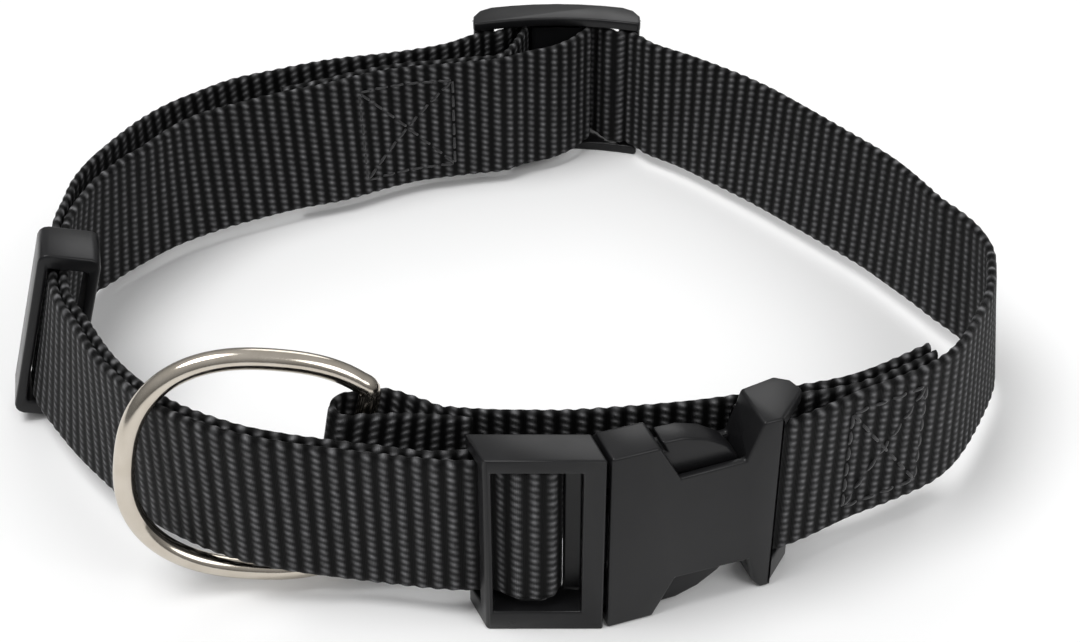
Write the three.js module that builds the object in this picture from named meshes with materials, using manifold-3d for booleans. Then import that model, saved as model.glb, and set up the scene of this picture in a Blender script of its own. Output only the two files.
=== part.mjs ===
// An adjustable dog collar of black ribbed webbing, closed and standing on its lower edges.
// Millimetres, +Z up. The buckle faces -Y, the slide is at the back, +X is to the viewer's right.

import * as THREE from 'three';
import { mergeVertices } from 'three/addons/utils/BufferGeometryUtils.js';
import Module from 'manifold-3d';

const wasm = await Module();
wasm.setup();

// Webbing
const WEB_WIDTH = 25;
const WEB_THICK = 1.4;
const LAYER_GAP = 0.25;
const WEB_RAISE = 0.95;
const PATH_STEP = 4;

// Closed loop of the main strap
const LOOP_WIDTH = 156;
const LOOP_DEPTH = 135.7;
const LOOP_CENTRE_X = -4.1;
// Where the ring's fold lifts the strap: how far, how far forward, in which direction and how widely
const RING_LIFT = 2.9;
const RING_PUSH = 0.9;
const RING_LIFT_AZIMUTH = 233;
const RING_LIFT_SPREAD = 20.5;
// Shares of the half depth between which the strap sinks to the slide's height
const SAG_FROM = -0.66;
const SAG_TO = 0.86;

// Plastic fittings, common sizes
const FITTING_HEIGHT = 32.5;
const EDGE_CLEAR = 0.35;
const FACE_CLEAR = 0.3;

// Male half of the buckle
const MALE_LENGTH = 17.1;
const MALE_DEPTH = 6;
const MALE_SIDE_SLANT = 2.7;
const RIM_END = 1;
const WINDOW_SLACK = 1;
const RIM_DEPTH = 2.2;
const WINDOW_LENGTH = 12.8;
const SHOULDER_THICK = 1;
const MALE_BAR_WIDTH = 5.6;
const MALE_BAR_THICK = 2.8;
const MALE_BAR_INSET = 2.6;

// Female half of the buckle
const BUCKLE_BEND = 20;
const SEAM_GAP = 0.65;
const FEMALE_LENGTH = 26;
const FEMALE_DEPTH = 8;
const FEMALE_CHAMFER = 1.8;
const FEMALE_WALL = 1.4;
const MOUTH_WALL = 2.2;
const NOTCH_DROP = 6.6;
const CAVITY_END = 20.8;
const END_BAR_RADIUS = 2;

// Arms and tongue of the male half
const ARM_ROOM = 0.35;
const ARM_TALL = 4.2;
const TONGUE_HEIGHT = 10;
const TONGUE_LENGTH = 17;

// Slide
const SLIDE_LENGTH = 32;
const SLIDE_HEIGHT = 29.4;
const SLIDE_RAIL = 4;
const SLIDE_BAR_WIDTH = 10.4;
const SLIDE_BAR_THICK = 2.6;
const SLIDE_ARCH = 2.4;
const SLIDE_DEPTH = 6.1;
const SLIDE_X = 3.2;

// Keeper
const KEEPER_DEPTH = 9.8;
const KEEPER_LENGTH = 8.6;
const KEEPER_HEIGHT = 31.8;
const KEEPER_WALL = 1.7;
const KEEPER_ROUND = 1.6;
const KEEPER_LEAN = 15.8;

// Ring
const RING_WIRE = 3.2;
const RING_HALF_HEIGHT = 17.6;
const RING_BOW = 19.8;
const RING_BAR_OFFSET = 13.6;
const RING_SQUARENESS = 2.4;
const RING_HEADING = 188.4;
const RING_LEAN = -10;
const RING_ROLL = 11;
const RING_RAISE = 0.9;
const RING_BAR_SHARE = -0.29103;
const RING_BAR_INSET = 13.9;
const WIRE_SIDES = 12;

// Fold of the ring strap
const FOLD_SLACK = 2.3;
const FOLD_ROOM = 0.4;
const FOLD_TURN = 0.5;
const FOLD_TAIL = 17;
const FOLD_LIFT = 0.8;

const layerStep = WEB_THICK + LAYER_GAP;
const hug = LAYER_GAP + WEB_THICK / 2;
const halfWidth = LOOP_WIDTH / 2;
const halfDepth = LOOP_DEPTH / 2;
const strapZ = FITTING_HEIGHT / 2 + WEB_RAISE;
const ringBarX = LOOP_CENTRE_X + RING_BAR_SHARE * halfWidth;
const ringBarY = RING_BAR_INSET - halfDepth;
const strapTop = strapZ + WEB_WIDTH / 2;
const strapBottom = strapZ - WEB_WIDTH / 2;
const railTopZ = strapTop + EDGE_CLEAR;
const railBottomZ = strapBottom - EDGE_CLEAR;

const radians = THREE.MathUtils.degToRad;

// Plan points of the main strap's outer layer, as shares of the loop's half width and half depth
const rightSide = [
  { x: 0.655, y: -0.718 }, { x: 0.740, y: -0.666 }, { x: 0.824, y: -0.602 }, { x: 0.876, y: -0.535 },
  { x: 0.930, y: -0.425 }, { x: 0.966, y: -0.335 }, { x: 0.990, y: -0.248 }, { x: 1.000, y: -0.165 },
  { x: 0.984, y: -0.085 }, { x: 0.955, y: -0.015 }, { x: 0.921, y: 0.047 }, { x: 0.884, y: 0.130 },
  { x: 0.816, y: 0.264 }, { x: 0.738, y: 0.382 }, { x: 0.658, y: 0.498 }, { x: 0.573, y: 0.615 },
  { x: 0.488, y: 0.713 }, { x: 0.405, y: 0.799 }, { x: 0.325, y: 0.868 },
];
const leftOuter = [
  { x: -0.165, y: 0.872 }, { x: -0.306, y: 0.804 }, { x: -0.447, y: 0.758 }, { x: -0.578, y: 0.698 },
  { x: -0.665, y: 0.653 }, { x: -0.746, y: 0.577 }, { x: -0.808, y: 0.510 }, { x: -0.871, y: 0.424 },
  { x: -0.912, y: 0.350 }, { x: -0.951, y: 0.255 }, { x: -0.985, y: 0.145 }, { x: -0.995, y: 0.054 },
  { x: -1.000, y: -0.054 }, { x: -0.994, y: -0.140 }, { x: -0.981, y: -0.227 }, { x: -0.965, y: -0.300 },
  { x: -0.932, y: -0.378 }, { x: -0.885, y: -0.462 }, { x: -0.838, y: -0.542 }, { x: -0.792, y: -0.613 },
  { x: -0.746, y: -0.677 }, { x: -0.665, y: -0.762 }, { x: -0.576, y: -0.828 }, { x: -0.481, y: -0.876 },
  { x: -0.409, y: -0.896 }, { x: -0.336, y: -0.910 }, { x: -0.238, y: -0.928 }, { x: -0.150, y: -0.944 },
];
// How many of the outer points the inner layer follows one layer inside, counted from the buckle's end
const SHARED_POINTS = 16;
const leftInner = [
  { x: -0.969, y: 0.042 }, { x: -0.938, y: 0.150 }, { x: -0.914, y: 0.195 }, { x: -0.883, y: 0.254 },
  { x: -0.849, y: 0.304 }, { x: -0.794, y: 0.388 }, { x: -0.717, y: 0.468 }, { x: -0.627, y: 0.529 },
  { x: -0.537, y: 0.582 }, { x: -0.435, y: 0.627 }, { x: -0.345, y: 0.683 }, { x: -0.255, y: 0.725 },
  { x: -0.165, y: 0.747 }, { x: -0.108, y: 0.762 },
];
// How many of the inner points the sewn-back end lies against, counted from the slide
const SEWN_POINTS = 6;
// The ring strap behind the buckle
const behindBuckle = [
  { x: -0.130, y: -0.792 }, { x: -0.022, y: -0.786 }, { x: 0.090, y: -0.787 }, { x: 0.200, y: -0.776 },
  { x: 0.350, y: -0.752 },
];
// Lean of the strap by direction from the middle: positive where its lower edge stands further out
const leanTable = [
  { azimuth: 0, lean: 4 }, { azimuth: 15, lean: -1 }, { azimuth: 45, lean: -4 }, { azimuth: 66, lean: 0 },
  { azimuth: 102, lean: 0 }, { azimuth: 125, lean: -5 }, { azimuth: 148, lean: -3 },
  { azimuth: 165, lean: 6 }, { azimuth: 178, lean: 12 }, { azimuth: 191, lean: 15.8 }, { azimuth: 202, lean: 9 },
  { azimuth: 216, lean: 3 }, { azimuth: 230, lean: 0 }, { azimuth: 320, lean: 0 }, { azimuth: 340, lean: 4 },
  { azimuth: 350, lean: 7.5 }, { azimuth: 360, lean: 4 },
];

function place(row) {
  return [LOOP_CENTRE_X + row.x * halfWidth, row.y * halfDepth];
}

function polar(centre, radius, degrees) {
  return [centre[0] + radius * Math.cos(radians(degrees)), centre[1] + radius * Math.sin(radians(degrees))];
}

function arc(centre, radius, from, to, count) {
  return Array.from({ length: count + 1 }, (_, i) => polar(centre, radius, from + (to - from) * i / count));
}

// A point of a fitting's own plan frame, turned by its heading and moved to its place
function local(origin, heading, along, across) {
  const c = Math.cos(radians(heading));
  const s = Math.sin(radians(heading));
  return [origin[0] + along * c - across * s, origin[1] + along * s + across * c];
}

// Unit normal of a plan polyline at one of its points, to the left of its direction
function leftNormal(points, i) {
  const a = points[Math.max(0, i - 1)];
  const b = points[Math.min(points.length - 1, i + 1)];
  const length = Math.hypot(b[0] - a[0], b[1] - a[1]);
  return [-(b[1] - a[1]) / length, (b[0] - a[0]) / length];
}

function offset(points, distance) {
  return points.map((p, i) => {
    const n = leftNormal(points, i);
    return [p[0] + n[0] * distance, p[1] + n[1] * distance];
  });
}

// Samples a smooth curve through plan points, more closely where the points lie closer
function smooth(points) {
  const places = points.map((p) => new THREE.Vector3(p[0], p[1], 0));
  const curve = new THREE.CatmullRomCurve3(places, false, 'centripetal');
  const spans = points.length - 1;
  const samples = [];
  for (let i = 0; i < spans; i += 1) {
    const reach = Math.hypot(points[i + 1][0] - points[i][0], points[i + 1][1] - points[i][1]);
    const cuts = Math.max(1, Math.round(reach / PATH_STEP));
    for (let k = 0; k < cuts; k += 1) {
      const p = curve.getPoint((i + k / cuts) / spans);
      samples.push([p.x, p.y]);
    }
  }
  samples.push(points[spans]);
  return samples;
}

// Lean and lift of the main strap

function azimuthOf(x, y) {
  return (THREE.MathUtils.radToDeg(Math.atan2(y, x - LOOP_CENTRE_X)) + 360) % 360;
}

function leanAt(azimuth) {
  const i = Math.max(1, leanTable.findIndex((row) => row.azimuth >= azimuth));
  const a = leanTable[i - 1];
  const b = leanTable[i];
  const t = THREE.MathUtils.smoothstep(azimuth, a.azimuth, b.azimuth);
  return radians(a.lean + (b.lean - a.lean) * t);
}

function liftAt(azimuth) {
  const t = Math.min(1, Math.abs(azimuth - RING_LIFT_AZIMUTH) / RING_LIFT_SPREAD);
  return RING_LIFT * Math.cos(t * Math.PI / 2) ** 2;
}

// The strap hangs lower towards the slide, which stands on the same surface as the buckle
function sagAt(y) {
  const share = (y / halfDepth - SAG_FROM) / (SAG_TO - SAG_FROM);
  return (strapZ - SLIDE_HEIGHT / 2) * THREE.MathUtils.clamp(share, 0, 1);
}

function shapeMainStrap(v) {
  const azimuth = azimuthOf(v.x, v.y);
  const lean = leanAt(azimuth);
  const rise = v.z - strapZ;
  const lift = liftAt(azimuth);
  v.z = strapZ + lift - sagAt(v.y) + rise * Math.cos(lean);
  v.x -= Math.cos(radians(azimuth)) * Math.sin(lean) * rise;
  v.y -= Math.sin(radians(azimuth)) * Math.sin(lean) * rise + lift * RING_PUSH;
}

// Ring frame: square to its plane, along its reach and up its bar
const ringHeading = new THREE.Vector3(Math.cos(radians(RING_HEADING)), Math.sin(radians(RING_HEADING)), 0);
const ringFlat = new THREE.Vector3(-ringHeading.y, ringHeading.x, 0);
const ringSteep = new THREE.Vector3(0, 0, 1).applyAxisAngle(ringHeading, -radians(RING_LEAN));
const ringSquare = new THREE.Vector3().crossVectors(ringSteep, ringHeading);
const ringAlong = ringHeading.clone().applyAxisAngle(ringSquare, -radians(RING_ROLL));
const ringUp = ringSteep.clone().applyAxisAngle(ringSquare, -radians(RING_ROLL));
const ringZ = strapZ + RING_RAISE;
const ringBar = new THREE.Vector3(ringBarX, ringBarY, ringZ);

// The ring strap leans and slants with the ring's bar, and straightens behind the buckle
function shapeRingStrap(v) {
  const share = 1 - THREE.MathUtils.smoothstep(v.x, ringBarX, ringBarX + FOLD_TAIL * 1.3);
  const lean = radians(RING_LEAN) * share;
  const rise = v.z - strapZ;
  v.x += ringFlat.x * Math.sin(lean) * rise + Math.tan(radians(RING_ROLL)) * share * rise;
  v.y += ringFlat.y * Math.sin(lean) * rise;
  v.z = strapZ + FOLD_LIFT * share + rise * Math.cos(lean);
}

// Geometry helpers

function solidOf(geometry) {
  const bare = geometry.clone();
  bare.deleteAttribute('normal');
  bare.deleteAttribute('uv');
  const merged = mergeVertices(bare, 1e-4);
  const vertProperties = new Float32Array(merged.attributes.position.array);
  const triVerts = new Uint32Array(merged.index.array);
  return new wasm.Manifold(new wasm.Mesh({ numProp: 3, vertProperties, triVerts }));
}

function geometryOf(solid) {
  const mesh = solid.getMesh();
  const geometry = new THREE.BufferGeometry();
  geometry.setAttribute('position', new THREE.BufferAttribute(new Float32Array(mesh.vertProperties), 3));
  geometry.setIndex(new THREE.BufferAttribute(new Uint32Array(mesh.triVerts), 1));
  geometry.computeVertexNormals();
  return geometry;
}

function outlineShape(points) {
  return new THREE.Shape(points.map((p) => new THREE.Vector2(p[0], p[1])));
}

// A plan outline raised from one height to another
function prism(points, low, high) {
  const geometry = new THREE.ExtrudeGeometry(outlineShape(points), { depth: high - low, bevelEnabled: false });
  return geometry.translate(0, 0, low);
}

// A flat strap on edge along a plan path, bent by the given shaping of each of its points
function ribbon(path, shaping) {
  const outer = offset(path, WEB_THICK / 2);
  const inner = offset(path, -WEB_THICK / 2);
  const geometry = prism([...outer, ...inner.reverse()], strapBottom, strapTop);
  const position = geometry.attributes.position;
  const v = new THREE.Vector3();
  for (let i = 0; i < position.count; i += 1) {
    v.fromBufferAttribute(position, i);
    shaping(v);
    position.setXYZ(i, v.x, v.y, v.z);
  }
  geometry.computeVertexNormals();
  return geometry;
}

// A profile in the fitting's own length and height, as deep as asked, placed in plan
function sidePrism(points, near, far, origin, heading) {
  const geometry = new THREE.ExtrudeGeometry(outlineShape(points), { depth: far - near, bevelEnabled: false });
  geometry.rotateX(Math.PI / 2);
  geometry.scale(1, -1, 1);
  const index = geometry.index;
  const flipped = index ? geometry.toNonIndexed() : geometry;
  const position = flipped.attributes.position;
  for (let i = 0; i < position.count; i += 3) {
    const b = new THREE.Vector3().fromBufferAttribute(position, i + 1);
    const c = new THREE.Vector3().fromBufferAttribute(position, i + 2);
    position.setXYZ(i + 1, c.x, c.y, c.z);
    position.setXYZ(i + 2, b.x, b.y, b.z);
  }
  flipped.translate(0, near, 0);
  flipped.rotateZ(radians(heading));
  return flipped.translate(origin[0], origin[1], 0);
}

// A plan outline of a fitting placed by its heading
function placed(points, origin, heading) {
  return points.map(([along, across]) => local(origin, heading, along, across));
}

// A flat bar with round edges, as a plan outline
function stadium(centre, width, thick, sides) {
  const r = thick / 2;
  const reach = width / 2 - r;
  return [
    ...arc([centre[0] + reach, centre[1]], r, -90, 90, sides),
    ...arc([centre[0] - reach, centre[1]], r, 90, 270, sides),
  ];
}

// Places shared by the fittings and the straps

const maleOrigin = [-MALE_LENGTH / 2 + 0.75, -halfDepth];
const maleFront = maleOrigin[1];
const windowLeft = maleOrigin[0] + RIM_END;
const windowRight = windowLeft + WINDOW_LENGTH;
const maleRight = maleOrigin[0] + MALE_LENGTH;
const maleBar = [windowLeft + WINDOW_LENGTH * 0.43, maleFront + MALE_BAR_INSET + MALE_BAR_THICK / 2];
const maleWrap = MALE_BAR_THICK / 2 + hug;
const maleBarReach = MALE_BAR_WIDTH / 2 - MALE_BAR_THICK / 2;

const femaleOrigin = local([maleRight, maleFront], BUCKLE_BEND, SEAM_GAP, 0);
const endWrap = END_BAR_RADIUS + hug;
const endBarAlong = CAVITY_END + FEMALE_WALL + FACE_CLEAR + endWrap + WEB_THICK / 2;
const endBarAcross = FEMALE_WALL + FACE_CLEAR + endWrap + WEB_THICK / 2;
const endBar = local(femaleOrigin, BUCKLE_BEND, endBarAlong, endBarAcross);

const slideOrigin = [SLIDE_X, halfDepth - WEB_THICK / 2 - SLIDE_BAR_THICK / 2];
const slideWrap = SLIDE_BAR_THICK / 2 + hug;
const slideBarReach = SLIDE_BAR_WIDTH / 2 - SLIDE_BAR_THICK / 2;
const slotEnd = SLIDE_LENGTH / 2 - SLIDE_RAIL;

// Straps

const outerRight = rightSide.map(place);
const stackStart = local(endBar, -63, endWrap, 0);
const endExit = arc(endBar, endWrap, 102, 297, 9);
const stack = [local(stackStart, 27, 6, 0), ...outerRight.slice(0, 3)];
const sewnUnder = offset(stack, layerStep).slice(1);

// The slide's way: inside the right rail, over the middle bar and its wrap, inside the left rail
function overSlide() {
  const over = slideWrap + layerStep;
  const inside = SLIDE_BAR_THICK / 2 + FACE_CLEAR + WEB_THICK / 2;
  const half = [
    [slotEnd + 1.9, -inside], [slotEnd - 0.5, -inside + 0.1], [slotEnd - 2.1, -1], [slotEnd - 3.1, 0.6],
    [slideBarReach + 3.4, over * 0.66], [slideBarReach + 1.7, over * 0.93], [slideBarReach, over],
  ];
  const right = half.map(([x, y]) => [slideOrigin[0] + x, slideOrigin[1] + y]);
  const left = half.map(([x, y]) => [slideOrigin[0] - x, slideOrigin[1] + y]).reverse();
  return [...right, ...left];
}

// The inner layer's way across the slide to the right end of its middle bar
function intoSlide() {
  const spots = [[-10.1, -13], [-6.2, -10.5], [-0.9, -8.2], [3, -5]];
  return spots.map(([x, y]) => [slideOrigin[0] + x, slideOrigin[1] + y]);
}

// The male bar's way: behind the left rim, over the bar from the front and back behind it
function roundMaleBar() {
  const behindRim = maleFront + RIM_DEPTH + FACE_CLEAR + WEB_THICK / 2 + 0.2;
  const left = maleBar[0] - maleBarReach;
  const right = maleBar[0] + maleBarReach;
  return [
    [maleOrigin[0] - 4.2, behindRim + 0.05],
    [windowLeft + 0.4, behindRim],
    [windowLeft + 1.9, behindRim - 0.8],
    [left - 0.9, maleBar[1] - maleWrap + 0.2],
    [left, maleBar[1] - maleWrap],
    ...arc([right, maleBar[1]], maleWrap, -90, 90, 8),
    [left, maleBar[1] + maleWrap],
    [maleOrigin[0] + 0.4, maleBar[1] + maleWrap - 0.3],
  ];
}

function buildMainStrap() {
  const outerLeft = leftOuter.map(place);
  const shared = offset(outerLeft, layerStep).slice(-SHARED_POINTS).reverse();
  const innerLeft = leftInner.map(place);
  const inward = [...innerLeft, ...intoSlide()];
  const tail = offset(inward, layerStep).slice(-SEWN_POINTS - 4, -3).reverse();
  const barRight = [slideOrigin[0] + slideBarReach, slideOrigin[1]];
  const barLeft = [slideOrigin[0] - slideBarReach, slideOrigin[1]];
  return smooth([
    ...sewnUnder.reverse(),
    ...endExit,
    ...stack,
    ...outerRight.slice(3),
    ...overSlide(),
    ...outerLeft,
    ...roundMaleBar(),
    ...shared,
    ...inward,
    ...arc(barRight, slideWrap, -50, 90, 7),
    ...arc(barLeft, slideWrap, 90, 185, 4),
    ...tail,
  ]);
}

function buildRingStrap() {
  const foldRadius = RING_WIRE / 2 + FOLD_ROOM + WEB_THICK / 2;
  const foldCentre = [ringBarX - FOLD_SLACK, ringBarY - FOLD_TURN];
  const sewnTo = local([ringBarX, ringBarY], 0, FOLD_TAIL, 0);
  const behind = behindBuckle.map(place);
  const under = offset(stack, 2 * layerStep + 1.5 * LAYER_GAP).slice(1);
  return smooth([
    [sewnTo[0], behind[0][1] - layerStep - 0.1],
    [sewnTo[0] - FOLD_TAIL * 0.3, behind[0][1] - layerStep - 0.3],
    [ringBarX + 2.5, ringBarY - foldRadius],
    [ringBarX - 1, ringBarY - foldRadius - FOLD_TURN / 2],
    ...arc(foldCentre, foldRadius, 270, 90, 8),
    [ringBarX - 1, ringBarY + foldRadius],
    [ringBarX + 2.5, ringBarY + foldRadius + LAYER_GAP],
    [sewnTo[0] - FOLD_TAIL * 0.3, behind[0][1] - 0.1],
    ...behind,
    polar(endBar, endWrap + layerStep + 0.1, 95),
    ...under,
  ]);
}

// Ring: a straight bar and a bow, swept with a round wire

function ringPoint(t) {
  const limit = Math.acos(-((RING_BAR_OFFSET / RING_BOW) ** (RING_SQUARENESS / 2)));
  const angle = -limit + 2 * limit * t;
  const power = 2 / RING_SQUARENESS;
  const c = Math.cos(angle);
  const s = Math.sin(angle);
  const reach = RING_BAR_OFFSET + RING_BOW * Math.sign(c) * Math.abs(c) ** power;
  const height = RING_HALF_HEIGHT * Math.sign(s) * Math.abs(s) ** power;
  return { reach, height };
}

function ringAt({ reach, height }) {
  return ringBar.clone().addScaledVector(ringAlong, reach).addScaledVector(ringUp, height);
}

function buildRing() {
  const BOW_STEPS = 44;
  const bow = Array.from({ length: BOW_STEPS + 1 }, (_, i) => ringAt(ringPoint(i / BOW_STEPS)));
  const bar = [0.7, 0.35, 0, -0.35, -0.7].map((share) => ringAt({ reach: 0, height: share * ringPoint(1).height }));
  const curve = new THREE.CatmullRomCurve3([...bow, ...bar], true, 'centripetal');
  const wire = new THREE.Shape().absarc(0, 0, RING_WIRE / 2, 0, Math.PI * 2);
  return new THREE.ExtrudeGeometry(wire, {
    extrudePath: curve, steps: 72, curveSegments: WIRE_SIDES / 2, bevelEnabled: false,
  });
}

// Male half: frame, bar, tongue and side arms

function buildMale() {
  const back = maleFront + MALE_DEPTH;
  const bend = Math.tan(radians(BUCKLE_BEND));
  const left = maleOrigin[0];
  const slantLeft = left - MALE_SIDE_SLANT;
  const slantRight = maleRight - MALE_DEPTH * bend;
  const body = [[left, maleFront], [maleRight, maleFront], [slantRight, back], [slantLeft, back]];
  const shoulder = back - SHOULDER_THICK;
  const windowHole = [
    [windowLeft, maleFront - 1], [windowRight, maleFront - 1], [windowRight, shoulder], [windowLeft, shoulder],
  ];
  const strapReach = Math.sqrt((maleWrap + WEB_THICK / 2) ** 2 - (shoulder - maleBar[1]) ** 2);
  const strapRight = maleBar[0] + maleBarReach + strapReach + FACE_CLEAR;
  const exitHole = [
    [slantLeft - 1, maleFront + RIM_DEPTH], [strapRight, maleFront + RIM_DEPTH], [strapRight, back + 1],
    [slantLeft - 1, back + 1],
  ];
  const openLow = railBottomZ - WINDOW_SLACK;
  const openHigh = railTopZ;
  const bar = stadium(maleBar, MALE_BAR_WIDTH, MALE_BAR_THICK, 6);
  let solid = solidOf(prism(body, 0, FITTING_HEIGHT));
  solid = solid.subtract(solidOf(prism(windowHole, openLow, openHigh)));
  solid = solid.subtract(solidOf(prism(exitHole, openLow, openHigh)));
  solid = solid.add(solidOf(prism(bar, openLow - 0.5, openHigh + 0.5)));
  const root = -SEAM_GAP - 0.8;
  const armNear = FEMALE_WALL + ARM_ROOM;
  const armFar = MALE_DEPTH - 0.4;
  const mouth = FITTING_HEIGHT - MOUTH_WALL - ARM_ROOM;
  const arm = [
    [root, mouth - ARM_TALL], [13, mouth - ARM_TALL - 0.6], [19.6, mouth - ARM_TALL - 1.2], [20.2, mouth - 4.2],
    [18.2, mouth - 1.6], [15, mouth + 0.6], [11.5, mouth + 1.8], [8.1, mouth + 1.9], [8.95, mouth], [root, mouth],
  ];
  const lower = arm.map(([along, height]) => [along, FITTING_HEIGHT - height]).reverse();
  const tongue = [
    [root, (FITTING_HEIGHT - TONGUE_HEIGHT) / 2], [TONGUE_LENGTH, (FITTING_HEIGHT - TONGUE_HEIGHT) / 2 + 1],
    [TONGUE_LENGTH, (FITTING_HEIGHT + TONGUE_HEIGHT) / 2 - 1], [root, (FITTING_HEIGHT + TONGUE_HEIGHT) / 2],
  ];
  for (const profile of [arm, lower, tongue]) {
    solid = solid.add(solidOf(sidePrism(profile, armNear, armFar, femaleOrigin, BUCKLE_BEND)));
  }
  return geometryOf(solid);
}

// Female half: sleeve, side notches, flared end and strap bar

function buildFemale() {
  const notch = [
    [7.1, FITTING_HEIGHT + 1], [7.1, FITTING_HEIGHT], [10.5, FITTING_HEIGHT - NOTCH_DROP],
    [20.6, FITTING_HEIGHT - NOTCH_DROP + 0.2], [22.9, FITTING_HEIGHT], [22.9, FITTING_HEIGHT + 1],
  ];
  const lowNotch = [
    [24.5, -1], [24.5, 0], [23.2, 1.7], [22.2, NOTCH_DROP - 0.2], [10.5, NOTCH_DROP], [7.1, 0], [7.1, -1],
  ];
  const sleeveEnd = CAVITY_END + FEMALE_WALL;
  const sleevePlan = [[0, 0], [sleeveEnd, 0], [sleeveEnd, FEMALE_DEPTH], [0, FEMALE_DEPTH]];
  const cavityPlan = [
    [-1, FEMALE_WALL], [CAVITY_END, FEMALE_WALL], [CAVITY_END, FEMALE_DEPTH - FEMALE_WALL],
    [-1, FEMALE_DEPTH - FEMALE_WALL],
  ];
  const panelPlan = [[CAVITY_END, 0], [FEMALE_LENGTH, 0], [FEMALE_LENGTH, FEMALE_WALL], [CAVITY_END, FEMALE_WALL]];
  const finPlan = [
    [CAVITY_END, 0], [FEMALE_LENGTH - 0.4, 0], [endBarAlong + 5.1, endBarAcross - 0.2],
    [endBarAlong + 4.4, endBarAcross + 2.4], [endBarAlong + 2.4, endBarAcross + 3.9],
    [CAVITY_END + 0.6, FEMALE_DEPTH],
  ];
  const at = (plan) => placed(plan, femaleOrigin, BUCKLE_BEND);
  let solid = solidOf(prism(at(sleevePlan), 0, FITTING_HEIGHT));
  for (const low of [0, FITTING_HEIGHT]) {
    const sign = low === 0 ? 1 : -1;
    solid = solid.subtract(chamferCut(low, sign));
  }
  solid = solid.subtract(solidOf(prism(at(cavityPlan), MOUTH_WALL, FITTING_HEIGHT - MOUTH_WALL)));
  solid = solid.subtract(solidOf(sidePrism(notch, -1, FEMALE_DEPTH + 1, femaleOrigin, BUCKLE_BEND)));
  solid = solid.subtract(solidOf(sidePrism(lowNotch, -1, FEMALE_DEPTH + 1, femaleOrigin, BUCKLE_BEND)));
  let end = solidOf(prism(at(panelPlan), 0, FITTING_HEIGHT));
  end = end.add(solidOf(prism(at(finPlan), railTopZ, FITTING_HEIGHT)));
  end = end.add(solidOf(prism(at(finPlan), 0, railBottomZ)));
  end = end.subtract(solidOf(sidePrism(notch, -1, FEMALE_DEPTH + 1, femaleOrigin, BUCKLE_BEND)));
  end = end.subtract(solidOf(sidePrism(lowNotch, -1, FEMALE_DEPTH + 1, femaleOrigin, BUCKLE_BEND)));
  const bar = arc(endBar, END_BAR_RADIUS, 0, 330, 11);
  end = end.add(solidOf(prism(bar, railBottomZ - 0.5, railTopZ + 0.5)));
  return geometryOf(solid.add(end));
}

// Takes off the long edge between the back and the top or bottom of the sleeve
function chamferCut(edge, sign) {
  const far = FEMALE_DEPTH + 1;
  const run = [
    [FEMALE_DEPTH - FEMALE_CHAMFER, edge - sign * 0.01], [far, edge - sign * 0.01],
    [far, edge + sign * (FEMALE_CHAMFER + 1)],
  ];
  const section = sign > 0 ? run : run.reverse();
  const geometry = new THREE.ExtrudeGeometry(outlineShape(section), { depth: FEMALE_LENGTH + 2, bevelEnabled: false });
  geometry.applyMatrix4(new THREE.Matrix4().set(0, 0, 1, -1, 1, 0, 0, 0, 0, 1, 0, 0, 0, 0, 0, 1));
  geometry.rotateZ(radians(BUCKLE_BEND));
  return solidOf(geometry.translate(femaleOrigin[0], femaleOrigin[1], 0));
}

// Slide: top and bottom rails, two side rails and the middle bar

function buildSlide() {
  const half = SLIDE_LENGTH / 2;
  const bars = SLIDE_BAR_THICK / 2;
  const near = (share) => -bars - 0.1 - SLIDE_ARCH * share ** 2;
  const far = (share) => near(share) + SLIDE_DEPTH;
  const spots = [-0.97, -0.8, -0.55, -0.28, 0, 0.28, 0.55, 0.8, 0.97];
  const nearLine = spots.map((share) => [share * half, near(share)]);
  const farLine = spots.slice(1, -1).map((share) => [share * half, far(share)]).reverse();
  const rightEnd = [[half, near(1) + 0.7], [half, near(1) + SLIDE_DEPTH * 0.55], [half * 0.93, far(1) - 0.5]];
  const leftEnd = rightEnd.map(([x, y]) => [-x, y]).reverse();
  const railPlan = [...nearLine, ...rightEnd, ...farLine, ...leftEnd];
  const sidePlan = (sign) => {
    const outline = [[slotEnd, -bars], [half, -bars], [half, bars - 1], [slotEnd, bars]];
    return sign > 0 ? outline : outline.map(([x, y]) => [-x, y]).reverse();
  };
  const at = (plan) => placed(plan, slideOrigin, 0);
  const openHigh = (SLIDE_HEIGHT + WEB_WIDTH) / 2 + EDGE_CLEAR;
  const openLow = SLIDE_HEIGHT - openHigh;
  let solid = solidOf(prism(at(railPlan), openHigh, SLIDE_HEIGHT));
  solid = solid.add(solidOf(prism(at(railPlan), 0, openLow)));
  for (const plan of [sidePlan(1), sidePlan(-1), stadium([0, 0], SLIDE_BAR_WIDTH, SLIDE_BAR_THICK, 6)]) {
    solid = solid.add(solidOf(prism(at(plan), openLow - 0.5, openHigh + 0.5)));
  }
  return geometryOf(solid);
}

// Keeper: a rectangular tube round both layers, leaning with the strap

function roundedRectangle(width, height, radius) {
  const x = width / 2 - radius;
  const y = height / 2 - radius;
  return [
    ...arc([x, -y], radius, -90, 0, 3), ...arc([x, y], radius, 0, 90, 3),
    ...arc([-x, y], radius, 90, 180, 3), ...arc([-x, -y], radius, 180, 270, 3),
  ];
}

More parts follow.
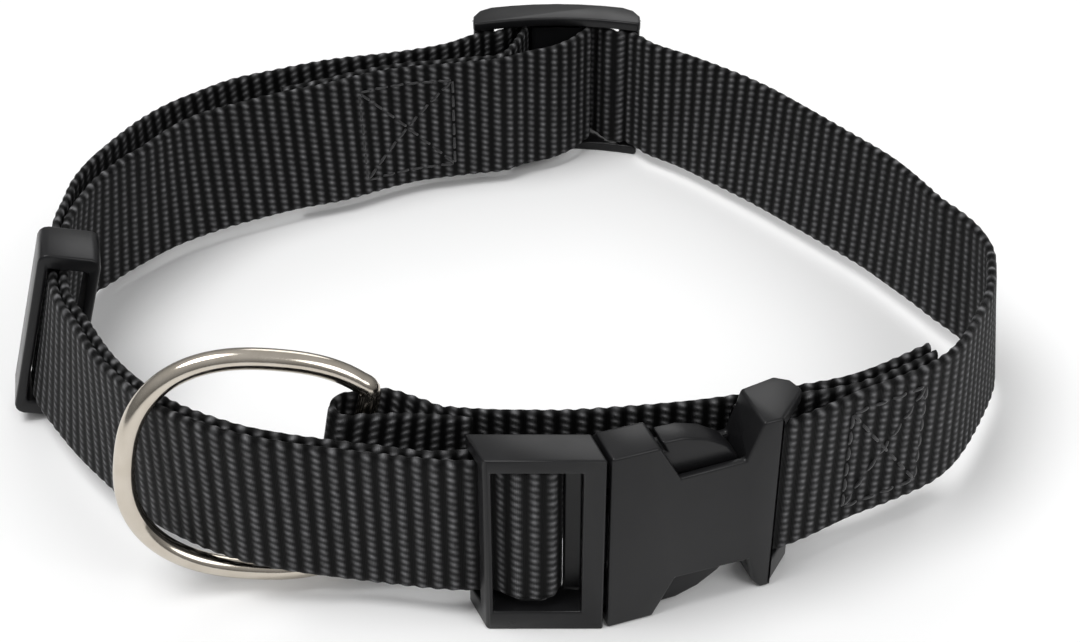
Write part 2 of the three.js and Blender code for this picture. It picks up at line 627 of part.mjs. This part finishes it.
function buildKeeper() {
  const shape = outlineShape(roundedRectangle(KEEPER_DEPTH, KEEPER_HEIGHT, KEEPER_ROUND));
  const openHeight = WEB_WIDTH + 2 * EDGE_CLEAR + 2 * layerStep * Math.sin(radians(KEEPER_LEAN));
  const hole = roundedRectangle(KEEPER_DEPTH - 2 * KEEPER_WALL, openHeight, KEEPER_ROUND / 3);
  shape.holes.push(new THREE.Path(hole.map((p) => new THREE.Vector2(p[0], p[1]))));
  const geometry = new THREE.ExtrudeGeometry(shape, { depth: KEEPER_LENGTH, bevelEnabled: false });
  geometry.translate(0, 0, -KEEPER_LENGTH / 2);
  geometry.rotateX(Math.PI / 2);
  return geometry;
}

// Assembly

const webbing = { color: 0x101011, roughness: 0.85, metalness: 0 };
const plastic = { color: 0x1b1b1c, roughness: 0.42, metalness: 0 };
const steel = { color: 0xc9c3b8, roughness: 0.18, metalness: 1 };

function piece(name, geometry, finish) {
  const mesh = new THREE.Mesh(geometry, new THREE.MeshStandardMaterial(finish));
  mesh.name = name;
  return mesh;
}

function placeKeeper(mesh) {
  const outer = leftOuter.map(place);
  const i = leftOuter.findIndex((row) => row.y < -0.2);
  const n = leftNormal(outer, i);
  const inward = KEEPER_DEPTH / 2 - KEEPER_WALL - WEB_THICK / 2 - 0.6;
  const lean = radians(KEEPER_LEAN);
  const low = KEEPER_HEIGHT / 2 * Math.cos(lean) + (KEEPER_DEPTH / 2) * Math.sin(lean)
    - KEEPER_ROUND * (Math.cos(lean) + Math.sin(lean) - 1);
  mesh.rotation.order = 'ZYX';
  mesh.rotation.set(0, lean, Math.atan2(n[1], n[0]));
  mesh.position.set(outer[i][0] + n[0] * inward, outer[i][1] + n[1] * inward, low);
  return mesh;
}

const collar = new THREE.Group();
collar.add(piece('main_strap', ribbon(buildMainStrap(), shapeMainStrap), webbing));
collar.add(piece('d_ring_strap', ribbon(buildRingStrap(), shapeRingStrap), webbing));
collar.add(piece('d_ring', buildRing(), steel));
collar.add(piece('buckle_male', buildMale(), plastic));
collar.add(piece('buckle_female', buildFemale(), plastic));
collar.add(piece('strap_slide', buildSlide(), plastic));
collar.add(placeKeeper(piece('strap_keeper', buildKeeper(), plastic)));

// The origin is under the middle of the collar's box
collar.updateMatrixWorld(true);
const box = new THREE.Box3().setFromObject(collar, true);
collar.position.set(-(box.min.x + box.max.x) / 2, -(box.min.y + box.max.y) / 2, -box.min.z);

export default collar;
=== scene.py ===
"""Looks of the dog collar: ribbed black webbing, satin plastic fittings, a plated ring and stitches."""

import math

import bmesh
import bpy
import numpy as np
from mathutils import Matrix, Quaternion, Vector


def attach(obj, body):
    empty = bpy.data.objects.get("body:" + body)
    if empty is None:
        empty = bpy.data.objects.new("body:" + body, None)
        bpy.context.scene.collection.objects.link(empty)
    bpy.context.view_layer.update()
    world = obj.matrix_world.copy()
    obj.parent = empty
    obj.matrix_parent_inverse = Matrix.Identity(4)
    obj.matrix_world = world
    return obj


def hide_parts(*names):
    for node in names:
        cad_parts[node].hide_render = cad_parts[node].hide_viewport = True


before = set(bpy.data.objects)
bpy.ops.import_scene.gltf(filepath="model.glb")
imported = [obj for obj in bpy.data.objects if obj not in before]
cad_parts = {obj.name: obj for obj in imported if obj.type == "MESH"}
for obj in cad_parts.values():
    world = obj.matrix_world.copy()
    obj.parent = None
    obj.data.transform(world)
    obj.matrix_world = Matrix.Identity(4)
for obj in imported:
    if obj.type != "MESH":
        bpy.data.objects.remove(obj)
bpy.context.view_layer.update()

MM = 0.001
# The least distance that a curve divides by
SHORTEST = 1e-9

# Webbing: its section
WEB_HALF_WIDTH = 12.45 * MM
WEB_HALF_THICK = 0.66 * MM
# Shares of the half width: where the edge starts to round off, and the lines that make up the section
EDGE_ROUND = 0.92
ACROSS = [-1.0, -0.985, -0.95, -0.9, -0.8, -0.65, -0.45, -0.2, 0.05, 0.3, 0.55, 0.75, 0.88, 0.94, 0.98, 1.0]
# How much thinner the ring's strap is on each face, so that the ring can turn in its fold
TAB_SLIM = 0.09 * MM

# Webbing: the ribs across it and the scallops along its edges
RIB_PITCH = 2.4 * MM
RIB_RISE = 0.22 * MM
RIB_FULLNESS = 0.7
SCALLOP_PITCH = 2.2 * MM
SCALLOP_RISE = 0.22 * MM
# Shares of their rise that lie within the named thickness and width
RIB_SUNK_SHARE = 0.5
SCALLOP_SUNK_SHARE = 0.6

# Webbing: the pattern of its yarns, which drives both the bump and the painted highlights and painted shade
# in its colour; its fine waves, which go only into the bump, are in radians per millimetre
WEAVE_LAYER = "weave"
WEAVE_DEPTH = 0.35 * MM
RIB_SHARPNESS = 2.1
DASH_PITCH = 1.25 * MM
DASH_SLANT = 0.6
DASH_SHARPNESS = 1.3
DASH_FLOOR = 0.22
FINE_WAVES = 28.0
FINE_RISE = 0.1

# Reading a strap's path from its CAD node, whose end edges are as long as the webbing is thick
WELD = 0.001 * MM
END_EDGE = 1.4 * MM
END_EDGE_SLACK = 0.03 * MM
STRAP_CUTS = 12
STATION_STEP = 0.4 * MM
# Plan places near which the straps begin, in millimetres
MAIN_BEGINS = (64.0, -40.0)
TAB_BEGINS = (-4.0, -57.0)

# Stitches
THREAD_RADIUS = 0.26 * MM
THREAD_LIFT = 0.5 * THREAD_RADIUS
STITCH_LENGTH = 2.3 * MM
STITCH_PITCH = 2.9 * MM
STITCH_SINK = 0.3 * MM
STITCH_POINTS = 5
STITCH_SIDES = 6
PATCH_HALF_WIDTH = 9.2 * MM

# Sewn patches: their two ends in plan and the stretch of strap that holds them, in millimetres
RIGHT_PATCH = ((51.0, -51.2), (63.0, -44.4))
RIGHT_STRETCH = (30, 140)
SLIDE_PATCH = ((-27.5, 43.4), (-10.5, 49.3))
SLIDE_STRETCH = (-160, -62)
TAB_PATCH = ((-18.0, -53.0), (-6.0, -54.2))
TAB_STRETCH = (24, 90)

# Plastic fittings
MOULDING_WELD = 0.002 * MM
EDGE_BEVEL = 0.42 * MM
BEVEL_SEGMENTS = 3
BEVEL_ANGLE = math.radians(28)
SMOOTH_ANGLE = math.radians(34)
FLAT_ANGLE = math.radians(1.5)
TINY_EDGE = 0.12 * MM

# Ring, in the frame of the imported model
WIRE_RADIUS = 1.6 * MM
WIRE_SIDES = 28
RING_BAR = Vector((-20.834, -55.300, 18.1)) * MM
RING_HEADING = math.radians(188.4)
RING_LEAN = math.radians(-10)
RING_ROLL = math.radians(11)
RING_HALF_HEIGHT = 17.6 * MM
RING_BOW = 19.8 * MM
RING_BAR_OFFSET = 13.6 * MM
RING_SQUARENESS = 2.4
RING_BOW_STEPS = 44
RING_CUTS = 4
# Points on the ring's bar, as shares of half its length
RING_BAR_SHARES = (0.7, 0.35, 0, -0.35, -0.7)
# A slanted direction in which no tube starts
TUBE_SEED = (0.31, 0.52, 0.79)

# Camera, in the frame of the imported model
CAMERA_PLACE = (5.966 * MM, -270.0 * MM, 207.8 * MM)
CAMERA_PITCH = math.radians(37)
CAMERA_LENS = 65.0
CAMERA_SENSOR = 36
CAMERA_NEAR = 0.01

# Studio: the sky's strength at the horizon, its full strength, and how far up that begins (1 is overhead)
SKY_LOW = 0.16
SKY_HIGH = 0.6
SKY_HIGH_FROM = 0.8
FLOOR_SIZE = 6
# Lamps: the place that they all face, and each one's place, diameter in metres and power in watts
LAMP_AIM = (0, 0, 0.015)
LAMPS = {
    "key": ((-0.3, -0.1, 0.85), 0.5, 4.5),
    "fill": ((0.5, -0.5, 0.6), 0.5, 2),
    "back": ((0.1, 0.7, 0.5), 0.4, 0.8),
}


def spline(points, cuts, closed=False):
    """Centripetal curve through the rows of an array, each span cut into the given number of steps."""
    n = len(points)
    spans = n if closed else n - 1
    out = []
    for i in range(spans):
        p1, p2 = points[i % n], points[(i + 1) % n]
        p0 = points[(i - 1) % n] if closed or i > 0 else 2 * p1 - p2
        p3 = points[(i + 2) % n] if closed or i + 2 < n else 2 * p2 - p1
        pairs = ((p0, p1), (p1, p2), (p2, p3))
        d0, d1, d2 = (max(np.linalg.norm(b - a), SHORTEST) ** 0.5 for a, b in pairs)
        t1 = ((p1 - p0) / d0 - (p2 - p0) / (d0 + d1) + (p2 - p1) / d1) * d1
        t2 = ((p2 - p1) / d1 - (p3 - p1) / (d1 + d2) + (p3 - p2) / d2) * d1
        square = -3 * p1 + 3 * p2 - 2 * t1 - t2
        cube = 2 * p1 - 2 * p2 + t1 + t2
        for k in range(cuts):
            t = k / cuts
            out.append(p1 + t * t1 + t**2 * square + t**3 * cube)
    if not closed:
        out.append(points[-1])
    return np.array(out)


def unit(rows):
    """The rows of an array, each scaled to length 1."""
    return rows / np.linalg.norm(rows, axis=1)[:, None]


def linked(name, data):
    """A new object with the given data, in the scene."""
    obj = bpy.data.objects.new(name, data)
    bpy.context.scene.collection.objects.link(obj)
    return obj


def smooth(mesh):
    """Shades every face of a mesh smooth."""
    mesh.polygons.foreach_set("use_smooth", [True] * len(mesh.polygons))


def fix_normals(obj):
    """Turns the faces of a closed mesh outward."""
    work = bmesh.new()
    work.from_mesh(obj.data)
    bmesh.ops.recalc_face_normals(work, faces=work.faces)
    work.to_mesh(obj.data)
    work.free()


def mesh_object(name, verts, faces, body, material, uvs=None):
    """A smooth piece that rides on a body, with one pair of weave coordinates for each vertex if given."""
    mesh = bpy.data.meshes.new(name)
    mesh.from_pydata([tuple(v) for v in verts], [], faces)
    if uvs is not None:
        layer = mesh.uv_layers.new(name=WEAVE_LAYER)
        corners = np.empty(len(mesh.loops), np.int32)
        mesh.loops.foreach_get("vertex_index", corners)
        layer.data.foreach_set("uv", np.asarray(uvs, np.float32)[corners].ravel())
    smooth(mesh)
    mesh.materials.append(material)
    obj = linked(name, mesh)
    fix_normals(obj)
    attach(obj, body)
    return obj


def principled(name, **sockets):
    """A material whose shader has these constants, each named by its socket with _ for a space."""
    material = bpy.data.materials.new(name)
    material.use_nodes = True
    inputs = material.node_tree.nodes["Principled BSDF"].inputs
    for key, value in sockets.items():
        inputs[key.replace("_", " ")].default_value = value
    return material


def feed(material, socket, output):
    """Links a node's output to a socket of the material's shader."""
    tree = material.node_tree
    tree.links.new(output, tree.nodes["Principled BSDF"].inputs[socket])


def math_node(tree, operation, *values):
    """The output of a math node, whose values are numbers or other outputs."""
    node = tree.nodes.new("ShaderNodeMath")
    node.operation = operation
    for i, value in enumerate(values):
        if isinstance(value, (int, float)):
            node.inputs[i].default_value = value
        else:
            tree.links.new(value, node.inputs[i])
    return node.outputs[0]


def noise(tree, place, scale, detail):
    """The output of a noise texture, from 0 to 1."""
    node = tree.nodes.new("ShaderNodeTexNoise")
    node.inputs["Scale"].default_value = scale
    node.inputs["Detail"].default_value = detail
    tree.links.new(place, node.inputs["Vector"])
    return node.outputs["Fac"]


def object_place(tree):
    """The place on the object, in metres."""
    return tree.nodes.new("ShaderNodeTexCoord").outputs["Object"]


def add_bump(material, height, strength, depth):
    """Raises and lowers the surface by a height from 0 to 1."""
    tree = material.node_tree
    bump = tree.nodes.new("ShaderNodeBump")
    bump.inputs["Strength"].default_value = strength
    bump.inputs["Distance"].default_value = depth
    tree.links.new(height, bump.inputs["Height"])
    feed(material, "Normal", bump.outputs["Normal"])


def add_roughness(material, factor, low, high):
    """Varies the roughness between two values."""
    feed(material, "Roughness", math_node(material.node_tree, "MULTIPLY_ADD", factor, high - low, low))


def add_colour(material, factor, low, high):
    """Varies the colour between two tones."""
    tree = material.node_tree
    mix = tree.nodes.new("ShaderNodeMix")
    mix.data_type = "RGBA"
    mix.inputs["A"].default_value = (*low, 1)
    mix.inputs["B"].default_value = (*high, 1)
    tree.links.new(factor, mix.inputs["Factor"])
    feed(material, "Base Color", mix.outputs["Result"])


def webbing_material():
    """Black yarn: slanted dashes within each rib and valleys between the ribs, raised and lowered by a bump,
    with painted highlights on the dashes, painted shade in the valleys and a faint random fuzz in the tone.
    """
    material = principled(
        "webbing", Roughness=0.6, Specular_IOR_Level=0.12, Sheen_Weight=0.015, Sheen_Roughness=0.5
    )
    tree = material.node_tree
    weave = tree.nodes.new("ShaderNodeUVMap")
    weave.uv_map = WEAVE_LAYER
    split = tree.nodes.new("ShaderNodeSeparateXYZ")
    tree.links.new(weave.outputs["UV"], split.inputs[0])
    along, across = split.outputs[0], split.outputs[1]

    turns = math_node(tree, "MULTIPLY", along, 2 * math.pi / (RIB_PITCH / MM))
    rib = math_node(tree, "MULTIPLY_ADD", math_node(tree, "COSINE", turns), -0.5, 0.5)
    rib = math_node(tree, "POWER", rib, RIB_SHARPNESS)

    lean = math_node(tree, "MULTIPLY", turns, DASH_SLANT)
    rows = math_node(tree, "MULTIPLY", across, 2 * math.pi / (DASH_PITCH / MM))
    slant = math_node(tree, "ADD", rows, lean)
    dash = math_node(tree, "MULTIPLY_ADD", math_node(tree, "SINE", slant), 0.5, 0.5)
    dash = math_node(tree, "POWER", dash, DASH_SHARPNESS)
    dash = math_node(tree, "MULTIPLY_ADD", dash, 1 - DASH_FLOOR, DASH_FLOOR)

    yarn = math_node(tree, "MULTIPLY", rib, dash)
    fine = math_node(tree, "SINE", math_node(tree, "MULTIPLY", along, FINE_WAVES))
    height = math_node(tree, "ADD", yarn, math_node(tree, "MULTIPLY", fine, FINE_RISE))
    add_bump(material, height, strength=1.0, depth=WEAVE_DEPTH)
    fuzz = noise(tree, weave.outputs["UV"], scale=0.9, detail=3.0)
    # Painted light: the colour is lighter on the dashes (a painted highlight) and darker in the valleys
    # between the ribs (painted shade), varied at random by the fuzz
    painted_weave_light = math_node(tree, "MULTIPLY", yarn, fuzz)
    add_colour(material, painted_weave_light, low=(0.0008, 0.0008, 0.0009), high=(0.31, 0.31, 0.32))
    return material


def plastic_material():
    """Moulded plastic: satin, with a fine grain and faint smudges in the gloss."""
    material = principled("plastic", Specular_IOR_Level=0.26)
    tree = material.node_tree
    place = object_place(tree)
    grain = noise(tree, place, scale=5200.0, detail=2.0)
    add_bump(material, grain, strength=0.12, depth=0.05 * MM)
    smudge = noise(tree, place, scale=180.0, detail=4.0)
    add_roughness(material, smudge, low=0.22, high=0.42)
    add_colour(material, smudge, low=(0.006, 0.006, 0.0065), high=(0.012, 0.012, 0.013))
    return material


def metal_material():
    """Bright nickel plate: a warm tint, a slight unevenness and clouding in the gloss."""
    material = principled("metal", Metallic=1.0)
    tree = material.node_tree
    place = object_place(tree)
    cloud = noise(tree, place, scale=260.0, detail=5.0)
    add_roughness(material, cloud, low=0.07, high=0.23)
    uneven = noise(tree, place, scale=900.0, detail=3.0)
    add_bump(material, uneven, strength=0.08, depth=0.1 * MM)
    add_colour(material, cloud, low=(0.46, 0.41, 0.34), high=(0.66, 0.61, 0.54))
    return material


def thread_material():
    """Black thread with a fine grain, which stands for its twist."""
    material = principled("thread", Roughness=0.5, Sheen_Weight=0.2)
    tree = material.node_tree
    twist = noise(tree, object_place(tree), scale=3000.0, detail=2.0)
    add_bump(material, twist, strength=0.4, depth=0.05 * MM)
    add_colour(material, twist, low=(0.003, 0.003, 0.0035), high=(0.03, 0.03, 0.032))
    return material


def welded(obj):
    """Vertices and triangles of a CAD node, with doubled vertices joined."""
    work = bmesh.new()
    work.from_mesh(obj.data)
    bmesh.ops.remove_doubles(work, verts=work.verts, dist=WELD)
    bmesh.ops.triangulate(work, faces=work.faces)
    points = np.array([v.co for v in work.verts])
    faces = [tuple(v.index for v in f.verts) for f in work.faces]
    work.free()
    return points, faces


def cap_outline(points, faces, upper):
    """The outline of the strap's upper or lower edge face, as vertex numbers in order."""
    middle = (points[:, 2].min() + points[:, 2].max()) / 2
    inside = (points[:, 2] > middle) == upper
    ways = set()
    for corners in faces:
        if all(inside[i] for i in corners):
            ways.update(zip(corners, corners[1:] + corners[:1]))
    onward = {a: b for a, b in ways if (b, a) not in ways}
    start = min(onward)
    loop = [start]
    while onward[loop[-1]] != start:
        loop.append(onward[loop[-1]])
    return loop


def rails(points, loop):
    """Splits an outline into its two long sides, paired point by point from the same end."""
    n = len(loop) // 2
    ring = points[loop]
    lengths = np.linalg.norm(np.roll(ring, -1, axis=0) - ring, axis=1)

    def misfit(k):
        """How far the outline, split at a point, is from square ends and sides one thickness apart."""
        here = np.roll(ring, -k, axis=0)
        ends = (here[-1] - here[0], here[n] - here[n - 1])
        sides = (here[1] - here[0], here[n - 1] - here[n - 2])
        skew = sum(abs(np.dot(e, s)) / np.linalg.norm(e) / np.linalg.norm(s) for e, s in zip(ends, sides))
        off = sum(abs(np.linalg.norm(e) - END_EDGE) for e in ends)
        width = np.linalg.norm(here[:n] - here[::-1][:n], axis=1)
        return skew + off / END_EDGE + np.abs(width - END_EDGE).max() / END_EDGE

    splits = [k for k in range(2 * n) if abs(lengths[k - 1] - END_EDGE) < END_EDGE_SLACK]
    here = np.roll(ring, -min(splits, key=misfit), axis=0)
    return here[:n], here[::-1][:n]


def strap_path(node, begins):
    """Evenly spaced stations along a strap from the end near a plan place: length, middle, up and outward."""
    points, faces = welded(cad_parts[node])
    top_a, top_b = rails(points, cap_outline(points, faces, True))
    low_a, low_b = rails(points, cap_outline(points, faces, False))
    top, low = (top_a + top_b) / 2, (low_a + low_b) / 2
    if np.linalg.norm(top[0] - low[0]) > np.linalg.norm(top[0] - low[-1]):
        low = low[::-1]
    begin = np.array(begins) * MM
    if np.linalg.norm(top[0, :2] - begin) > np.linalg.norm(top[-1, :2] - begin):
        top, low = top[::-1], low[::-1]

    dense = spline(np.hstack([top, low]), STRAP_CUTS)
    middle = (dense[:, :3] + dense[:, 3:]) / 2
    reach = np.concatenate([[0], np.cumsum(np.linalg.norm(np.diff(middle, axis=0), axis=1))])
    s = np.linspace(0, reach[-1], int(round(reach[-1] / STATION_STEP)) + 1)
    even = np.stack([np.interp(s, reach, column) for column in dense.T], axis=1)

    middle = (even[:, :3] + even[:, 3:]) / 2
    along = unit(np.gradient(middle, axis=0))
    up = unit(even[:, :3] - even[:, 3:])
    return {"s": s, "middle": middle, "up": up, "outward": unit(np.cross(along, up))}


def webbing(name, node, path, material, slim=0.0):
    """A strap with ribs across it, a scalloped selvedge and rounded edges."""
    s = path["s"]
    count = len(s)
    rib = RIB_RISE * (0.5 - 0.5 * np.cos(2 * math.pi * s / RIB_PITCH)) ** RIB_FULLNESS
    scallop = SCALLOP_RISE * (0.5 + 0.5 * np.cos(2 * math.pi * s / SCALLOP_PITCH))
    around = [(w, 1) for w in ACROSS] + [(w, -1) for w in reversed(ACROSS[1:-1])]
    rows, uvs = [], []
    for w, side in around:
        edge = max(0.0, (abs(w) - EDGE_ROUND) / (1 - EDGE_ROUND))
        half = (WEB_HALF_THICK - slim - RIB_RISE * RIB_SUNK_SHARE + rib) * math.sqrt(1 - edge**2)
        width = WEB_HALF_WIDTH * w + np.sign(w) * (scallop - SCALLOP_RISE * SCALLOP_SUNK_SHARE) * edge
        rows.append(path["middle"] + path["up"] * width[:, None] + path["outward"] * (side * half)[:, None])
        uvs.append(np.stack([s / MM, np.full(count, w * WEB_HALF_WIDTH / MM)], axis=1))
    n = len(around)
    verts = np.stack(rows, axis=1).reshape(-1, 3)
    flat = np.stack(uvs, axis=1).reshape(-1, 2)
    faces = []
    for i in range(count - 1):
        for j in range(n):
            a, b = i * n + j, i * n + (j + 1) % n
            faces.append((a, b, b + n, a + n))
    faces.append(tuple(range(n))[::-1])
    faces.append(tuple((count - 1) * n + j for j in range(n)))
    obj = mesh_object(name, verts, faces, "collar", material, flat)
    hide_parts(node)


def moulding(node, material):
    """A plastic fitting: the CAD shape with its edges rounded."""
    name = node + "_moulding"
    work = bmesh.new()
    work.from_mesh(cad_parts[node].data)
    bmesh.ops.remove_doubles(work, verts=work.verts, dist=MOULDING_WELD)
    bmesh.ops.dissolve_limit(work, angle_limit=FLAT_ANGLE, verts=work.verts, edges=work.edges)
    bmesh.ops.dissolve_degenerate(work, dist=TINY_EDGE, edges=work.edges)
    mesh = bpy.data.meshes.new(name)
    work.to_mesh(mesh)
    work.free()
    mesh.materials.append(material)
    obj = linked(name, mesh)

    bevel = obj.modifiers.new("edges", "BEVEL")
    bevel.width = EDGE_BEVEL
    bevel.segments = BEVEL_SEGMENTS
    bevel.limit_method = "ANGLE"
    bevel.angle_limit = BEVEL_ANGLE
    bevel.use_clamp_overlap = False
    bpy.context.view_layer.update()
    shaped = bpy.data.meshes.new_from_object(obj.evaluated_get(bpy.context.evaluated_depsgraph_get()))
    obj.modifiers.clear()
    obj.data = shaped
    smooth(shaped)
    shaped.set_sharp_from_angle(angle=SMOOTH_ANGLE)
    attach(obj, "collar")
    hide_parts(node)


def tube(centres, radius, sides, closed):
    """Vertices and faces of a round tube along a line of points."""
    centres = np.asarray(centres)
    count = len(centres)
    if closed:
        along = unit(np.roll(centres, -1, axis=0) - np.roll(centres, 1, axis=0))
    else:
        along = unit(np.gradient(centres, axis=0))
    side = np.cross(along[0], TUBE_SEED)
    side /= np.linalg.norm(side)
    verts = []
    for centre, ahead in zip(centres, along):
        side = side - ahead * np.dot(side, ahead)
        side /= np.linalg.norm(side)
        other = np.cross(ahead, side)
        for k in range(sides):
            angle = 2 * math.pi * k / sides
            verts.append(centre + radius * (math.cos(angle) * side + math.sin(angle) * other))
    faces = []
    for i in range(count if closed else count - 1):
        here, there = i * sides, (i + 1) % count * sides
        for k in range(sides):
            k_next = (k + 1) % sides
            faces.append((here + k, here + k_next, there + k_next, there + k))
    if not closed:
        faces.append(tuple(range(sides))[::-1])
        faces.append(tuple((count - 1) * sides + k for k in range(sides)))
    return verts, faces


def squared(value):
    """A sine or cosine bent so that the circle it belongs to becomes the ring's superellipse."""
    return math.copysign(abs(value) ** (2 / RING_SQUARENESS), value)


def ring_line():
    """Centre line of the ring: a superellipse bow closed by a straight bar."""
    heading = Vector((math.cos(RING_HEADING), math.sin(RING_HEADING), 0))
    steep = Vector((0, 0, 1))
    steep.rotate(Quaternion(heading, -RING_LEAN))
    roll = Quaternion(steep.cross(heading), -RING_ROLL)
    along, up = heading.copy(), steep.copy()
    along.rotate(roll)
    up.rotate(roll)
    limit = math.acos(-((RING_BAR_OFFSET / RING_BOW) ** (RING_SQUARENESS / 2)))
    points = []
    for i in range(RING_BOW_STEPS + 1):
        angle = -limit + 2 * limit * i / RING_BOW_STEPS
        reach = RING_BAR_OFFSET + RING_BOW * squared(math.cos(angle))
        height = RING_HALF_HEIGHT * squared(math.sin(angle))
        points.append(RING_BAR + along * reach + up * height)
    end = RING_HALF_HEIGHT * squared(math.sin(limit))
    points += [RING_BAR + up * (share * end) for share in RING_BAR_SHARES]
    return np.array(points)


def build_ring(material):
    """The ring's round wire."""
    line = spline(ring_line(), RING_CUTS, closed=True)
    verts, faces = tube(line, WIRE_RADIUS, WIRE_SIDES, True)
    obj = mesh_object("ring_wire", verts, faces, "ring", material)
    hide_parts("d_ring")


def nearest(path, place, stretch):
    """Length along a strap at its station nearest to a plan place.

    The place and the searched stretch are in millimetres. A negative limit counts from the strap's end.
    """
    s = path["s"]
    after, before = (limit * MM + (s[-1] if limit < 0 else 0) for limit in stretch)
    gap = np.hypot(path["middle"][:, 0] - place[0] * MM, path["middle"][:, 1] - place[1] * MM)
    gap[(s < after) | (s > before)] = np.inf
    return s[int(gap.argmin())]


def station(path, s):
    """Middle, up and outward of a strap at a length along it."""
    return [
        np.array([np.interp(s, path["s"], column) for column in path[key].T])
        for key in ("middle", "up", "outward")
    ]


def stitch(path, s, w, side, slant):
    """A short thread standing a little out of the strap's face, sunk at both ends."""
    centres = []
    for t in np.linspace(-0.5, 0.5, STITCH_POINTS):
        middle, up, outward = station(path, s + t * STITCH_LENGTH * math.cos(slant))
        across = w + t * STITCH_LENGTH * math.sin(slant)
        lift = WEB_HALF_THICK + THREAD_LIFT - (2 * t) ** 2 * STITCH_SINK
        centres.append(middle + up * across + outward * (side * lift))
    return tube(centres, THREAD_RADIUS, STITCH_SIDES, False)


def patch(path, ends, stretch, side):
    """Stitches round a rectangle and along its diagonals, on the outward face (1) or the other (-1)."""
    s_from, s_to = (nearest(path, place, stretch) for place in ends)
    low, high = -PATCH_HALF_WIDTH, PATCH_HALF_WIDTH
    runs = [
        ((s_from, low), (s_to, low)), ((s_from, high), (s_to, high)),
        ((s_from, low), (s_from, high)), ((s_to, low), (s_to, high)),
        ((s_from, low), (s_to, high)), ((s_from, high), (s_to, low)),
    ]
    made = []
    for (s0, w0), (s1, w1) in runs:
        count = max(2, int(math.hypot(s1 - s0, w1 - w0) / STITCH_PITCH))
        slant = math.atan2(w1 - w0, s1 - s0)
        for k in range(count):
            t = (k + 0.5) / count
            made.append(stitch(path, s0 + (s1 - s0) * t, w0 + (w1 - w0) * t, side, slant))
    return made


def build_stitches(stitches, material):
    """All stitches as one piece."""
    verts, faces = [], []
    for points, quads in stitches:
        shift = len(verts)
        verts += points
        faces += [tuple(i + shift for i in face) for face in quads]
    mesh_object("stitches", verts, faces, "collar", material)


def build_floor():
    """The white surface that the collar stands on."""
    bpy.ops.mesh.primitive_plane_add(size=FLOOR_SIZE, location=(0, 0, 0))
    floor = bpy.context.object
    floor.name = "floor"
    floor.data.materials.append(principled("floor", Base_Color=(0.94, 0.94, 0.94, 1), Roughness=0.8))


def build_sky():
    """A white sky that brightens with height."""
    world = bpy.data.worlds.new("studio")
    world.use_nodes = True
    tree = world.node_tree
    background = tree.nodes["Background"]
    background.inputs["Color"].default_value = (1, 1, 1, 1)
    split = tree.nodes.new("ShaderNodeSeparateXYZ")
    tree.links.new(tree.nodes.new("ShaderNodeTexCoord").outputs["Generated"], split.inputs[0])
    reach = tree.nodes.new("ShaderNodeMapRange")
    reach.inputs["From Max"].default_value = SKY_HIGH_FROM
    reach.inputs["To Min"].default_value = SKY_LOW
    reach.inputs["To Max"].default_value = SKY_HIGH
    tree.links.new(split.outputs[2], reach.inputs["Value"])
    tree.links.new(reach.outputs[0], background.inputs["Strength"])
    bpy.context.scene.world = world


def build_lamp(name, place, size, power):
    """A round lamp turned towards the collar."""
    lamp = bpy.data.lights.new(name, "AREA")
    lamp.shape = "DISK"
    lamp.size = size
    lamp.energy = power
    obj = linked(name, lamp)
    obj.location = place
    obj.rotation_euler = (Vector(LAMP_AIM) - Vector(place)).to_track_quat("-Z", "Y").to_euler()


def build_camera():
    """The camera of the photograph."""
    data = bpy.data.cameras.new("camera")
    data.lens = CAMERA_LENS
    data.sensor_width = CAMERA_SENSOR
    data.sensor_fit = "HORIZONTAL"
    data.clip_start = CAMERA_NEAR
    camera = linked("camera", data)
    camera.location = CAMERA_PLACE
    camera.rotation_euler = (math.pi / 2 - CAMERA_PITCH, 0, 0)
    bpy.context.scene.camera = camera


yarn = webbing_material()
plastic = plastic_material()
main_path = strap_path("main_strap", MAIN_BEGINS)
tab_path = strap_path("d_ring_strap", TAB_BEGINS)
webbing("main_webbing", "main_strap", main_path, yarn)
webbing("ring_webbing", "d_ring_strap", tab_path, yarn, TAB_SLIM)
for fitting in ("buckle_male", "buckle_female", "strap_slide", "strap_keeper"):
    moulding(fitting, plastic)
build_ring(metal_material())
sewn = patch(main_path, RIGHT_PATCH, RIGHT_STRETCH, 1)
sewn += patch(main_path, SLIDE_PATCH, SLIDE_STRETCH, 1)
sewn += patch(tab_path, TAB_PATCH, TAB_STRETCH, -1)
build_stitches(sewn, thread_material())

build_floor()
build_sky()
for lamp, (place, size, power) in LAMPS.items():
    build_lamp(lamp, place, size, power)
build_camera()
bpy.context.scene.view_settings.view_transform = "Standard"
